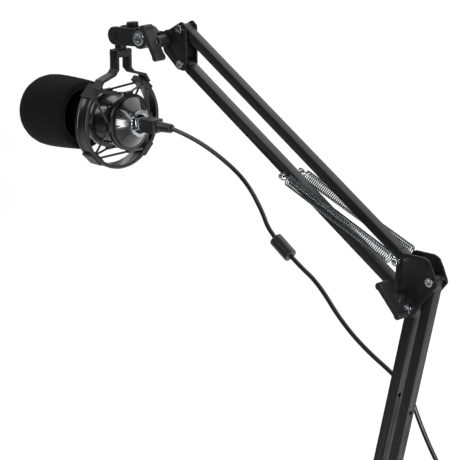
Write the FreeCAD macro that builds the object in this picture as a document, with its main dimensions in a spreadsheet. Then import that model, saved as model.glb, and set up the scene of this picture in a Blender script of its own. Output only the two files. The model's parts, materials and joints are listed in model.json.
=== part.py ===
"""Condenser microphone in a shock mount on a clamp-on scissor arm, millimetres, +Z up.

The origin is on the table top, on the arm's swivel axis. The arm folds in the plane Y = 0 and the
microphone hangs at its -X end. Each sub-part is one document object whose Label is its node name.
"""
import FreeCAD, Part
import Sketcher
import math
import os

Vector = FreeCAD.Vector
Rotation = FreeCAD.Rotation
Placement = FreeCAD.Placement

X_AXIS = Vector(1, 0, 0)
Y_AXIS = Vector(0, 1, 0)
Z_AXIS = Vector(0, 0, 1)

# The driving dimensions: millimetres, and degrees for the angles.
SIZES = {
    # scissor arm
    "bar_side": 10.0, "bar_wall": 1.2, "bar_span": 344.0, "plug_reach": 9.0, "tongue_run": 14.0,
    "upper_slope": 30.58, "lower_lean": 12.51,
    "upper_link_rise": 34.6, "upper_link_set": -0.8, "lower_link_set": 24.1, "lower_link_rise": 30.7,
    "elbow_set": -9.7, "elbow_rise": 8.6,
    "plate_gap": 12.6, "plate_gauge": 1.7, "plate_corner": 3.5,
    "bolt_radius": 2.5, "bore_radius": 2.55, "bolt_head_radius": 4.3, "bolt_head_rise": 2.2,
    "nut_radius": 4.6, "nut_rise": 3.5, "washer_radius": 4.5, "washer_gauge": 1.2,
    "tie_hole_radius": 2.2, "tie_hole_left": 252.0, "tie_hole_right": 206.0,
    # springs
    "spring_radius": 5.6, "spring_wire": 0.65, "hook_radius": 3.6, "anchor_radius": 2.0,
    "anchor_along": 172.0,
    "spring_out_bar": 12.4, "spring_out_plate": 15.0, "anchor_reach_bar": 15.5, "anchor_reach_plate": 18.0,
    # base and clamp
    "base_pivot_set": -14.8, "base_pivot_rise": 60.0, "swivel_radius": 6.0, "socket_radius": 6.06,
    "socket_outer": 13.0, "socket_top": 41.8, "socket_floor": 8.0, "flange_radius": 15.0,
    "jaw_gauge": 7.0, "jaw_width": 34.0, "jaw_reach": 42.0, "spine_gauge": 9.0, "clamp_drop": 78.0,
    "screw_radius": 5.0, "screw_bore": 5.05, "pad_radius": 13.0, "pad_gauge": 5.0, "desk_gauge": 30.0,
    "tommy_radius": 2.5, "tommy_length": 56.0,
    # wing knobs
    "wing_length": 38.0, "wing_depth": 13.0, "wing_gauge": 5.5, "hub_radius": 6.0,
    # head and yoke
    "stud_radius": 4.75, "stud_bore": 4.8, "eye_radius": 10.5, "eye_gauge": 12.4,
    "head_tilt": 4.0, "block_half": 9.4, "barrel_radius": 11.2, "cap_radius": 8.0,
    "yoke_gauge": 3.0, "yoke_width": 12.4, "yoke_bolt_height": 576.0,
    "ring_radius": 50.0, "ring_gauge": 3.0, "ring_width": 17.0,
    "clip_length": 17.0, "clip_width": 11.0, "clip_rise": 7.0,
    # microphone
    "mic_yaw": 5.0, "mic_pitch": 1.8, "mic_radius": 25.0, "mic_wall": 2.0,
    "basket_radius": 30.0, "sleeve_radius": 26.6, "socket_ring_radius": 13.7,
    "foam_radius": 39.3, "foam_bore": 25.4, "cord_radius": 2.3,
}

doc = FreeCAD.newDocument("BoomMicrophone")
sheet = doc.addObject("Spreadsheet::Sheet", "Sizes")
for row, (alias, amount) in enumerate(SIZES.items(), start=1):
    sheet.set("A%d" % row, alias)
    sheet.set("B%d" % row, str(amount))
    sheet.setAlias("B%d" % row, alias)
doc.recompute()

nodes = {}


def size(alias):
    """A driving dimension, read back from the sheet."""
    return float(getattr(sheet, alias))


def node(obj, label):
    """Name an object as a sub-part and remember it."""
    obj.Label = label
    nodes[label] = obj
    return obj


def bind(obj, **expressions):
    """Bind properties to expressions on the sheet, where a word stands for its alias."""
    for prop, text in expressions.items():
        if isinstance(text, (int, float)):
            setattr(obj, prop, text)
        else:
            obj.setExpression(prop, text)
    return obj


def block(length, width, height, base, turn=Rotation()):
    """A box centred on its own X and Y, standing on its own Z = 0, then placed."""
    obj = doc.addObject("Part::Box", "Block")
    bind(obj, Length=length, Width=width, Height=height)
    doc.recompute([obj])
    corner = Vector(-obj.Length.Value / 2, -obj.Width.Value / 2, 0)
    obj.Placement = Placement(base, turn) * Placement(corner, Rotation())
    return obj


def rod(radius, height, base, along=Z_AXIS):
    """A cylinder from a base point along a direction."""
    obj = doc.addObject("Part::Cylinder", "Rod")
    bind(obj, Radius=radius, Height=height)
    obj.Placement = Placement(base, Rotation(Z_AXIS, along))
    return obj


def cone(radius_low, radius_high, height, base, along=Z_AXIS):
    """A cone frustum from a base point along a direction."""
    obj = doc.addObject("Part::Cone", "Taper")
    bind(obj, Radius1=radius_low, Radius2=radius_high, Height=height)
    obj.Placement = Placement(base, Rotation(Z_AXIS, along))
    return obj


def hoop(radius_major, radius_minor, centre, along=Z_AXIS):
    """A torus about a direction."""
    obj = doc.addObject("Part::Torus", "Hoop")
    bind(obj, Radius1=radius_major, Radius2=radius_minor)
    obj.Placement = Placement(centre, Rotation(Z_AXIS, along))
    return obj


def fuse(*parts):
    """One solid from several that overlap."""
    obj = doc.addObject("Part::MultiFuse", "Joined")
    obj.Shapes = list(parts)
    return obj


def cut(base, *tools):
    """A base with tools taken out of it."""
    for tool in tools:
        obj = doc.addObject("Part::Cut", "Trimmed")
        obj.Base = base
        obj.Tool = tool
        base = obj
    return base


def group(*parts):
    """Separate solids in one sub-part."""
    obj = doc.addObject("Part::Compound", "Set")
    obj.Links = list(parts)
    return obj


def sketch(body, role, points):
    """A closed outline in one of the body's own planes. A word in a point is held to its cell."""
    outline = body.newObject("Sketcher::SketchObject", "Outline")
    plane = [f for f in body.Origin.OriginFeatures if f.Role == role][0]
    outline.AttachmentSupport = [(plane, "")]
    outline.MapMode = "FlatFace"
    places = []
    for point in points:
        places.append(Vector(amount_of(point[0]), amount_of(point[1]), 0))
    count = len(places)
    for i in range(count):
        outline.addGeometry(Part.LineSegment(places[i], places[(i + 1) % count]))
    for i in range(count):
        outline.addConstraint(Sketcher.Constraint("Coincident", i, 2, (i + 1) % count, 1))
    for i, point in enumerate(points):
        for kind, axis, part in (("DistanceX", -2, point[0]), ("DistanceY", -1, point[1])):
            value = amount_of(part)
            if abs(value) < 1e-9:
                outline.addConstraint(Sketcher.Constraint("PointOnObject", i, 1, axis))
                continue
            row = outline.addConstraint(Sketcher.Constraint(kind, -1, 1, i, 1, value))
            if isinstance(part, str):
                outline.setExpression("Constraints[%d]" % row, cell_of(part))
    return outline


def amount_of(part):
    """A coordinate as a number: a plain number, or a word for a cell with an optional minus."""
    if not isinstance(part, str):
        return part
    return -size(part[1:]) if part.startswith("-") else size(part)


def cell_of(part):
    """The same coordinate as an expression."""
    return "-Sizes." + part[1:] if part.startswith("-") else "Sizes." + part


def turned(points, name="Turned"):
    """A solid of revolution about Z from (radius, height) points."""
    body = doc.addObject("PartDesign::Body", name)
    outline = sketch(body, "XZ_Plane", points)
    turn = body.newObject("PartDesign::Revolution", "Turn")
    turn.Profile = outline
    turn.ReferenceAxis = (outline, ["V_Axis"])
    turn.Angle = 360
    doc.recompute()
    return body


def padded(points, depth, role="XZ_Plane", name="Padded"):
    """A flat piece: an outline and the cell of its thickness, half each side of the plane."""
    body = doc.addObject("PartDesign::Body", name)
    outline = sketch(body, role, points)
    pad = body.newObject("PartDesign::Pad", "Pad")
    pad.Profile = outline
    pad.Midplane = True
    pad.setExpression("Length", depth)
    doc.recompute()
    return body


def drill(body, role, centres, radius):
    """Round holes through a body, on one of its own planes."""
    holes = body.newObject("Sketcher::SketchObject", "Holes")
    plane = [f for f in body.Origin.OriginFeatures if f.Role == role][0]
    holes.AttachmentSupport = [(plane, "")]
    holes.MapMode = "FlatFace"
    for i, (across, up) in enumerate(centres):
        holes.addGeometry(Part.Circle(Vector(across, up, 0), Z_AXIS, size(radius)))
        row = holes.addConstraint(Sketcher.Constraint("Radius", i, size(radius)))
        holes.setExpression("Constraints[%d]" % row, "Sizes." + radius)
    pocket = body.newObject("PartDesign::Pocket", "Bores")
    pocket.Profile = holes
    pocket.Type = "ThroughAll"
    pocket.Midplane = True
    doc.recompute()
    return body


def round_edges(body, along, radius):
    """Fillet every straight edge that runs along a direction."""
    solid = body.Tip
    names = []
    for i, edge in enumerate(solid.Shape.Edges, start=1):
        if edge.Curve.TypeId != "Part::GeomLine":
            continue
        if abs(edge.Curve.Direction.dot(along)) > 0.999:
            names.append("Edge%d" % i)
    fillet = body.newObject("PartDesign::Fillet", "Corners")
    fillet.Base = (solid, names)
    fillet.setExpression("Radius", radius)
    body.Tip = fillet
    doc.recompute()
    return body


# ---------------------------------------------------------------- the arm's pivots
slope = math.radians(size("upper_slope"))
lean = math.radians(size("lower_lean"))
span = size("bar_span")
upper_way = Vector(-math.cos(slope), 0, math.sin(slope))
lower_way = Vector(math.sin(lean), 0, math.cos(lean))
upper_link = Vector(size("upper_link_set"), 0, size("upper_link_rise"))
lower_link = Vector(size("lower_link_set"), 0, size("lower_link_rise"))

base_left = Vector(size("base_pivot_set"), 0, size("base_pivot_rise"))
base_right = base_left + lower_link
elbow_left = base_left + lower_way * span
elbow_right = base_right + lower_way * span
elbow_low = elbow_left + Vector(size("elbow_set"), 0, size("elbow_rise"))
elbow_high = elbow_low + upper_link
head_low = elbow_low + upper_way * span
head_high = elbow_high + upper_way * span

plate_in = size("plate_gap") / 2
plate_out = plate_in + size("plate_gauge")
half_bar = size("bar_side") / 2


def at(point, y):
    """The same point in the arm's plane, moved to a depth."""
    return Vector(point.x, y, point.z)


# ---------------------------------------------------------------- bars
def bar(label, start, way, hole_at=None):
    """A square tube between two pivots, with a round-nosed plug in each end and perhaps a tie hole."""
    turn = Rotation(Z_AXIS, way)
    tube_start = start + way * size("plug_reach")
    run = "Sizes.bar_span - 2 * Sizes.plug_reach"
    outer = block("Sizes.bar_side", "Sizes.bar_side", run, tube_start, turn)
    inside = "Sizes.bar_side - 2 * Sizes.bar_wall"
    inner = block(inside, inside, run, tube_start, turn)
    cutters = [inner]
    if hole_at:
        into = Vector(-way.z, 0, way.x)
        cutters.append(rod("Sizes.tie_hole_radius", "Sizes.bar_side / 2 + 1",
                           start + way * size(hole_at) - into * (half_bar + 1), into))
    node(cut(outer, *cutters), label)

    plugs = []
    for pivot, inward in ((start, way), (start + way * span, way * -1)):
        turn_in = Rotation(Z_AXIS, inward)
        nose = rod("Sizes.bar_side / 2", "Sizes.bar_side", at(pivot, -half_bar), Y_AXIS)
        neck = block("Sizes.bar_side", "Sizes.bar_side", "Sizes.plug_reach", pivot, turn_in)
        tongue_at = pivot + inward * size("plug_reach")
        tongue = block(inside, inside, "Sizes.tongue_run", tongue_at, turn_in)
        bore = rod("Sizes.bore_radius", "2 * Sizes.bar_side", at(pivot, -2 * half_bar), Y_AXIS)
        plugs.append(cut(fuse(nose, neck, tongue), bore))
    node(group(*plugs), label + "_end_plugs")


bar("lower_bar_left", base_left, lower_way, "tie_hole_left")
bar("lower_bar_right", base_right, lower_way, "tie_hole_right")
bar("upper_bar_bottom", head_low, upper_way * -1)
bar("upper_bar_top", head_high, upper_way * -1)


# ---------------------------------------------------------------- brackets
def bracket_plates(name, corners, bores):
    """The front and rear cheek plates of a bracket, from one outline in the arm's plane."""
    offset = plate_in + size("plate_gauge") / 2
    for side, depth in (("front", -offset), ("rear", offset)):
        plate = padded(corners, "Sizes.plate_gauge", name="Cheek")
        round_edges(plate, Y_AXIS, "Sizes.plate_corner")
        drill(plate, "XZ_Plane", [(p.x, p.z) for p in bores], "bolt_radius")
        plate.Placement = Placement(Vector(0, depth, 0), Rotation())
        node(plate, "%s_plate_%s" % (name, side))


def pivot_bolts(name, pivots):
    """Pan-head bolts through both plates, with their nuts behind and washers beside the bars."""
    bolts = []
    for pivot in pivots:
        reach = "Sizes.plate_gap + 2 * Sizes.plate_gauge + Sizes.nut_rise + 1"
        shank = rod("Sizes.bolt_radius", reach, at(pivot, -plate_out), Y_AXIS)
        cap = rod("Sizes.bolt_head_radius", "Sizes.bolt_head_rise",
                  at(pivot, -plate_out - size("bolt_head_rise")), Y_AXIS)
        recess_at = at(pivot, -plate_out - size("bolt_head_rise") / 2 - 1)
        slots = [block(5.2, 1.2, 1.6, recess_at, Rotation(Z_AXIS, Vector(0, -1, 0)) * Rotation(Z_AXIS, a))
                 for a in (45, 135)]
        bolts.append(cut(fuse(shank, cap), *slots))
        nut = doc.addObject("Part::Prism", "Nut")
        bind(nut, Polygon=6, Circumradius="Sizes.nut_radius", Height="Sizes.nut_rise")
        nut.Placement = Placement(at(pivot, plate_out), Rotation(Z_AXIS, Y_AXIS))
        hole = rod("Sizes.bolt_radius", "Sizes.nut_rise", at(pivot, plate_out), Y_AXIS)
        bolts.append(cut(nut, hole))
        for y in (-plate_in, plate_in - size("washer_gauge")):
            ring = rod("Sizes.washer_radius", "Sizes.washer_gauge", at(pivot, y), Y_AXIS)
            bore = rod("Sizes.bolt_radius", "Sizes.washer_gauge", at(pivot, y), Y_AXIS)
            bolts.append(cut(ring, bore))
    node(group(*bolts), name + "_bolt_sets")


def outline_from(anchor, offsets):
    """Corners of a plate as offsets from one of its pivots."""
    return [(anchor.x + dx, anchor.z + dz) for dx, dz in offsets]


ELBOW_OUTLINE = [(3.1, 42.5), (26.2, 43.3), (32.0, 41.0), (36.6, 33.4), (42.5, 20.0), (25.0, -1.2),
                 (15.8, -15.0), (4.0, -14.6), (-7.8, -5.0), (-8.4, 8.0), (-6.6, 30.5)]
bracket_plates("elbow", outline_from(elbow_low, ELBOW_OUTLINE),
               [elbow_left, elbow_right, elbow_low, elbow_high])
pivot_bolts("elbow", [elbow_left, elbow_right])

tilt_pivot = head_low + Vector(-19.9, 0, 21.0)
HEAD_OUTLINE = [(1.6, 42.7), (-20.0, 30.6), (-28.6, 21.1), (-24.6, 9.0), (-4.5, -6.2), (6.5, -7.0),
                (8.5, 0.0), (8.2, 38.0)]
bracket_plates("head", outline_from(head_low, HEAD_OUTLINE), [head_low, head_high, tilt_pivot])
pivot_bolts("head", [head_low, head_high])

BASE_OUTLINE = [(-8.0, -14.9), (-8.0, 6.0), (14.0, 38.0), (30.0, 39.0), (32.5, 26.0), (29.5, -14.9)]
bracket_plates("base", outline_from(base_left, BASE_OUTLINE), [base_left, base_right])
pivot_bolts("base", [base_left])


# ---------------------------------------------------------------- springs
def anchor_pin(name, point, reach, radius="anchor_radius"):
    """A cross pin with a low head on each end, which two springs hook over."""
    shaft = rod("Sizes." + radius, "2 * Sizes.%s" % reach, at(point, -size(reach)), Y_AXIS)
    caps = [rod("Sizes.%s + 0.7" % radius, 1.2, at(point, y), Y_AXIS)
            for y in (-size(reach), size(reach) - 1.2)]
    return node(fuse(shaft, *caps), name)


def spring_pair(name, bar_point, plate_point):
    """Two tension springs, each a wound tube with a hook ring at either end."""
    springs = []
    for side in (-1, 1):
        start = at(bar_point, side * size("spring_out_bar"))
        end = at(plate_point, side * size("spring_out_plate"))
        way = end - start
        way.normalize()
        coil_from = start + way * 8
        run = (end - start).Length - 16
        coil = rod("Sizes.spring_radius", run, coil_from, way)
        core = rod("Sizes.spring_radius - 2 * Sizes.spring_wire", run, coil_from, way)
        hooks = [hoop("Sizes.hook_radius", "Sizes.spring_wire", start + way * 0.8, Y_AXIS),
                 hoop("Sizes.hook_radius", "Sizes.spring_wire", end - way * 0.3, Y_AXIS)]
        necks = [rod("Sizes.spring_wire", 5.0, start + way * 4.2, way),
                 rod("Sizes.spring_wire", 5.4, end - way * 3.7, way * -1)]
        webs = [rod("Sizes.spring_radius - Sizes.spring_wire", 0.9, start + way * 8, way),
                rod("Sizes.spring_radius - Sizes.spring_wire", 0.9, end - way * 8, way * -1)]
        springs.append(fuse(cut(coil, core), *hooks, *necks, *webs))
    node(group(*springs), name)


upper_anchor = elbow_low + upper_way * size("anchor_along")
lower_anchor = base_left + lower_way * (size("anchor_along") - 4)
spring_pair("upper_springs", upper_anchor, elbow_high)
spring_pair("lower_springs", lower_anchor, base_right)
anchor_pin("upper_spring_bar_pin", upper_anchor, "anchor_reach_bar")
anchor_pin("lower_spring_bar_pin", lower_anchor, "anchor_reach_bar")
anchor_pin("elbow_spring_pin", elbow_high, "anchor_reach_plate", "bolt_radius")
anchor_pin("base_spring_pin", base_right, "anchor_reach_plate", "bolt_radius")


# ---------------------------------------------------------------- wing knobs and their bolts
def wing_knob(name, pivot, hub_from, hub_to, blade_turn):
    """A wing knob on a bolt along Y: a hub and a rounded blade, bored for the bolt."""
    hub = rod("Sizes.hub_radius", hub_to - hub_from, at(pivot, -hub_from), Vector(0, -1, 0))
    turn = Rotation(Y_AXIS, blade_turn)
    depth_mid = hub_to + size("wing_depth") / 2 - 2.0
    half = size("wing_length") / 2 - size("wing_gauge") / 2
    blade = doc.addObject("Part::Box", "Blade")
    bind(blade, Length="Sizes.wing_length - Sizes.wing_gauge", Width="Sizes.wing_depth",
         Height="Sizes.wing_gauge")
    corner = Vector(-half, -size("wing_depth") / 2, 0)
    lift = Vector(0, 0, -size("wing_gauge") / 2)
    blade.Placement = Placement(at(pivot, -depth_mid), turn) * Placement(corner + lift, Rotation())
    tips = []
    for sign in (-1, 1):
        tip_at = at(pivot, -depth_mid) + turn.multVec(Vector(sign * half, 0, 0))
        tip_at = tip_at - Y_AXIS * (size("wing_depth") / 2)
        tips.append(rod("Sizes.wing_gauge / 2 + 0.9", "Sizes.wing_depth", tip_at, Y_AXIS))
    bore = rod("Sizes.bore_radius", hub_to - hub_from + 4, at(pivot, -hub_from), Vector(0, -1, 0))
    return node(cut(fuse(hub, blade, *tips), bore), name)


def knob_bolt(name, pivot, front):
    """A hex-headed bolt from behind the bracket to inside a wing knob."""
    head = doc.addObject("Part::Prism", "Hex")
    bind(head, Polygon=6, Circumradius="Sizes.nut_radius", Height="Sizes.nut_rise")
    head.Placement = Placement(at(pivot, plate_out), Rotation(Z_AXIS, Y_AXIS))
    shank = rod("Sizes.bolt_radius", plate_out + front + 1, at(pivot, plate_out + 1), Vector(0, -1, 0))
    return node(fuse(head, shank), name)


wing_knob("elbow_wing_knob", elbow_low, plate_out, 16.0, 45)
knob_bolt("elbow_knob_bolt", elbow_low, 18.0)
wing_knob("head_wing_knob", tilt_pivot, plate_out, 22.5, 57)
knob_bolt("head_knob_bolt", tilt_pivot, 24.0)

# ---------------------------------------------------------------- base, swivel and table clamp
swivel_top = size("socket_top")
foot_gap = 0.1
foot_floor = swivel_top + foot_gap
foot = block(40.0, "Sizes.plate_gap", 8.0, Vector(-2.5, 0, foot_floor + 2.5))
flange = rod("Sizes.flange_radius", 3.0, Vector(0, 0, foot_floor))
swivel_pin = rod("Sizes.swivel_radius", "Sizes.socket_top - Sizes.socket_floor - 0.5",
                 Vector(0, 0, size("socket_floor") + 1.0))
node(fuse(foot, flange, swivel_pin), "swivel_foot")

spine_y = -size("jaw_reach") / 2 - size("spine_gauge")
top_jaw = block("Sizes.jaw_width", "Sizes.jaw_reach + Sizes.spine_gauge", "Sizes.jaw_gauge",
                Vector(0, -size("spine_gauge") / 2, 0))
spine = block("Sizes.jaw_width", "Sizes.spine_gauge", "Sizes.clamp_drop + Sizes.jaw_gauge",
              Vector(0, spine_y + size("spine_gauge") / 2, -size("clamp_drop")))
low_jaw = block("Sizes.jaw_width", "Sizes.jaw_reach - 6 + Sizes.spine_gauge", 12.0,
                Vector(0, -3 - size("spine_gauge") / 2, -size("clamp_drop")))
socket = rod("Sizes.socket_outer", "Sizes.socket_top", Vector(0, 0, 0))
socket_bore = rod("Sizes.socket_radius", "Sizes.socket_top", Vector(0, 0, size("socket_floor")))
lock_bore = rod("Sizes.bore_radius", "2 * Sizes.socket_outer", Vector(0, 0, 24), X_AXIS)
thread_bore = rod("Sizes.screw_bore", 20, Vector(0, 0, -size("clamp_drop") - 4))
node(cut(fuse(top_jaw, spine, low_jaw, socket), socket_bore, lock_bore, thread_bore), "table_clamp")

lock_start = size("swivel_radius") + 0.05
lock_shank = rod("Sizes.bolt_radius", 14.0, Vector(lock_start, 0, 24), X_AXIS)
lock_head = rod("Sizes.hub_radius", 9.0, Vector(16, 0, 24), X_AXIS)
lock_wing = block(4.0, 22.0, 10.0, Vector(21, 0, 19))
node(fuse(lock_shank, lock_head, lock_wing), "swivel_lock_screw")

pad_top = -size("desk_gauge")
pad = rod("Sizes.pad_radius", "Sizes.pad_gauge", Vector(0, 0, pad_top), Vector(0, 0, -1))
neck_bore = rod(3.05, 3.5, Vector(0, 0, pad_top - size("pad_gauge")))
node(cut(pad, neck_bore), "clamp_pad")
screw_low = -size("clamp_drop") - 32
screw = rod("Sizes.screw_radius", pad_top - size("pad_gauge") - 0.1 - screw_low, Vector(0, 0, screw_low))
neck = rod(3.0, 4.0, Vector(0, 0, pad_top - size("pad_gauge") - 0.6))
tommy_hub = rod(8.0, 12.0, Vector(0, 0, screw_low - 6))
tommy_bore = rod("Sizes.tommy_radius", 20, Vector(-10, 0, screw_low), X_AXIS)
node(cut(fuse(screw, neck, tommy_hub), tommy_bore), "clamp_screw")
tommy = rod("Sizes.tommy_radius", "Sizes.tommy_length", Vector(-size("tommy_length") / 2, 0, screw_low),
            X_AXIS)
tommy_ends = [rod("Sizes.tommy_radius + 1.2", 3.0, Vector(x, 0, screw_low), X_AXIS)
              for x in (-size("tommy_length") / 2, size("tommy_length") / 2 - 3)]
node(fuse(tommy, *tommy_ends), "clamp_tommy_bar")

# ---------------------------------------------------------------- head: stud, swivel block
tilt = math.radians(size("head_tilt"))
stud_way = Vector(-math.cos(tilt), 0, -math.sin(tilt))


def along_stud(distance, rise=0.0):
    """A point on the stud's line, measured from the tilt pivot, and raised square to it."""
    return tilt_pivot + stud_way * distance + Vector(-math.sin(tilt), 0, math.cos(tilt)) * rise


block_turn = Rotation(Z_AXIS, stud_way)
eye = rod("Sizes.eye_radius", "Sizes.eye_gauge", at(tilt_pivot, -size("eye_gauge") / 2), Y_AXIS)
stud = rod("Sizes.stud_radius", 60.0, tilt_pivot, stud_way)
collar = rod(7.5, 4.0, along_stud(17.0), stud_way)
eye_bore = rod("Sizes.bore_radius", "2 * Sizes.eye_gauge", at(tilt_pivot, -size("eye_gauge")), Y_AXIS)
node(cut(fuse(eye, stud, collar), eye_bore), "tilt_stud")

HINGE_AT = 81.4
BARREL_AT = 40.0
KNOB_AT = 61.0
PIN_BORE = 3.05
hinge_point = along_stud(HINGE_AT)
core_block = block("2 * Sizes.block_half", "2 * Sizes.block_half", HINGE_AT - BARREL_AT,
                   along_stud(BARREL_AT), block_turn)
nose = rod("Sizes.block_half", "2 * Sizes.block_half", at(hinge_point, -size("block_half")), Y_AXIS)
barrel = rod("Sizes.barrel_radius", 20.0, at(along_stud(BARREL_AT), -11.0), Y_AXIS)
sleeve = rod(7.6, 16.0, along_stud(BARREL_AT - 16), stud_way)
stud_bore = rod("Sizes.stud_bore", 45.0, along_stud(15.5), stud_way)
tongue_slot = block("2 * Sizes.block_half + 4", 8.2, 30.0, along_stud(HINGE_AT - 15.4), block_turn)
hinge_bore = rod(PIN_BORE, 30, at(hinge_point, -15), Y_AXIS)
cap_bore = rod("Sizes.cap_radius", 2.0, at(along_stud(BARREL_AT), -11.0), Y_AXIS)
up_way = Vector(-math.sin(tilt), 0, math.cos(tilt))
knob_bore = rod("Sizes.bore_radius", 30, along_stud(KNOB_AT, 4.85), up_way)
joined_block = fuse(core_block, nose, barrel, sleeve)
node(cut(joined_block, stud_bore, tongue_slot, hinge_bore, cap_bore, knob_bore), "swivel_block")

cap = rod("Sizes.cap_radius", 3.0, at(along_stud(BARREL_AT), -12.0), Y_AXIS)
cap_socket = rod(4.2, 1.5, at(along_stud(BARREL_AT), -12.0), Y_AXIS)
node(cut(cap, cap_socket), "swivel_cap")
lock_stem = rod("Sizes.bolt_radius", 6.0, along_stud(KNOB_AT, 4.9), up_way)
lock_cap = rod(6.2, 5.0, along_stud(KNOB_AT, size("block_half") + 0.05), up_way)
node(fuse(lock_stem, lock_cap), "swivel_block_knob")
pin_half = size("block_half") + 0.9
hinge_shaft = rod(3.0, 2 * pin_half, at(hinge_point, -pin_half), Y_AXIS)
hinge_heads = [rod(4.4, 0.9, at(hinge_point, y), Y_AXIS) for y in (-pin_half, pin_half - 0.9)]
node(fuse(hinge_shaft, *hinge_heads), "yoke_hinge_pin")

# ---------------------------------------------------------------- yoke
hanger_x = hinge_point.x
bolt_height = size("yoke_bolt_height")
knuckle = rod(7.2, 8.0, at(hinge_point, -4.0), Y_AXIS)
knuckle_bore = rod(PIN_BORE, 30, at(hinge_point, -15), Y_AXIS)
shank_block = block(10.0, 8.0, 18.0, Vector(hanger_x, 0, hinge_point.z - 18))
boss = block("Sizes.yoke_width", 14.0, 8.0, Vector(hanger_x, 0, bolt_height - 4.0))
boss_bore = rod(2.0, 20, Vector(hanger_x, -10, bolt_height), Y_AXIS)
node(cut(fuse(knuckle, shank_block, boss), knuckle_bore, boss_bore), "yoke_hanger")
bolt_shaft = rod(2.0, 25, Vector(hanger_x, -12.5, bolt_height), Y_AXIS)
bolt_ends = [rod(3.6, 2.5, Vector(hanger_x, y, bolt_height), Y_AXIS) for y in (-12.5, 10.0)]
node(fuse(bolt_shaft, *bolt_ends), "yoke_bolt")

RING_HEIGHT = 502.8
ring_centre = Vector(-354.5, 0, RING_HEIGHT)


def strip(path, gauge):
    """The outline of a bent strip of even gauge about a path of (y, z) points."""
    left = []
    right = []
    for i, (y, z) in enumerate(path):
        before = path[max(i - 1, 0)]
        after = path[min(i + 1, len(path) - 1)]
        ways = []
        for a, b in ((before, (y, z)), ((y, z), after)):
            length = math.hypot(b[0] - a[0], b[1] - a[1])
            if length > 0:
                ways.append(((b[0] - a[0]) / length, (b[1] - a[1]) / length))
        normal = (-sum(w[1] for w in ways), sum(w[0] for w in ways))
        scale = math.hypot(*normal)
        normal = (normal[0] / scale, normal[1] / scale)
        reach = gauge / 2 / abs(normal[0] * -ways[0][1] + normal[1] * ways[0][0])
        left.append((y + normal[0] * reach, z + normal[1] * reach))
        right.append((y - normal[0] * reach, z - normal[1] * reach))
    return left + right[::-1]


band_outer = "Sizes.ring_radius"
hoop_outer = rod(band_outer, "Sizes.ring_width", ring_centre - X_AXIS * (size("ring_width") / 2), X_AXIS)
hoop_inner = rod("Sizes.ring_radius - Sizes.ring_gauge", "Sizes.ring_width",
                 ring_centre - X_AXIS * (size("ring_width") / 2), X_AXIS)
ribs = []
for offset in (-size("ring_width") / 2, size("ring_width") / 2 - 3.5):
    ribs.append(rod("Sizes.ring_radius + 1.0", 3.5, ring_centre + X_AXIS * offset, X_AXIS))
band = fuse(hoop_outer, *ribs)
gap_way = Rotation(X_AXIS, 45)
gap = doc.addObject("Part::Box", "Gap")
bind(gap, Length="2 * Sizes.ring_width", Width="2 * Sizes.ring_radius", Height="2 * Sizes.ring_radius")
gap.Placement = Placement(ring_centre - X_AXIS * size("ring_width"), gap_way)
shock_ring = node(cut(band, hoop_inner, gap), "shock_ring")

CLIP_ANGLES = (45, 135, 225, 315)
clips = []
for angle in CLIP_ANGLES:
    turn = Rotation(X_AXIS, angle)
    seat = ring_centre + turn.multVec(Vector(0, size("ring_radius") - size("ring_gauge") - 1.5, 0))
    clip = doc.addObject("Part::Box", "Clip")
    bind(clip, Length="Sizes.clip_width + 6", Width="Sizes.clip_rise", Height="Sizes.clip_length")
    corner = Vector(-size("clip_width") / 2 - 3, 0, -size("clip_length") / 2)
    clip.Placement = Placement(seat, turn) * Placement(corner, Rotation())
    clips.append(cut(clip, shock_ring))
node(group(*clips), "ring_clips")

arms = []
ARM_PATH = [(8.5, 580.0), (8.5, 559.5), (13.0, 554.5), (29.0, 549.5), (34.5, 541.0)]
for side in (-1, 1):
    outline = strip([(side * y, z) for y, z in ARM_PATH], size("yoke_gauge"))
    arm = padded(outline, "Sizes.yoke_width", role="YZ_Plane", name="YokeArm")
    arm.Placement = Placement(Vector(hanger_x, 0, 0), Rotation())
    arm_bore = rod(2.0, 30, Vector(hanger_x, -15, bolt_height), Y_AXIS)
    arms.append(cut(arm, arm_bore, *clips))
node(group(*arms), "yoke_arms")

# ---------------------------------------------------------------- microphone on its own axis
yaw = math.radians(size("mic_yaw"))
pitch = math.radians(size("mic_pitch"))
tail_way = Vector(math.cos(yaw) * math.cos(pitch), math.sin(yaw) * math.cos(pitch), math.sin(pitch))
mic_centre = Vector(-355.8, 0, RING_HEIGHT)
side_way = Vector(-math.sin(yaw), math.cos(yaw), 0)
mic_turn = Rotation(side_way, tail_way.cross(side_way), tail_way, "ZXY")
MIC = Placement(mic_centre, mic_turn)


def on_mic(obj, label=None):
    """Move something built about its own Z on to the microphone's axis."""
    obj.Placement = MIC * obj.Placement
    return node(obj, label) if label else obj


def mic_rod(radius, height, start, angle=0, reach=0):
    """A cylinder along the microphone's axis, set off from it at an angle."""
    turn = math.radians(angle)
    return rod(radius, height, Vector(reach * math.cos(turn), reach * math.sin(turn), start))


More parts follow.
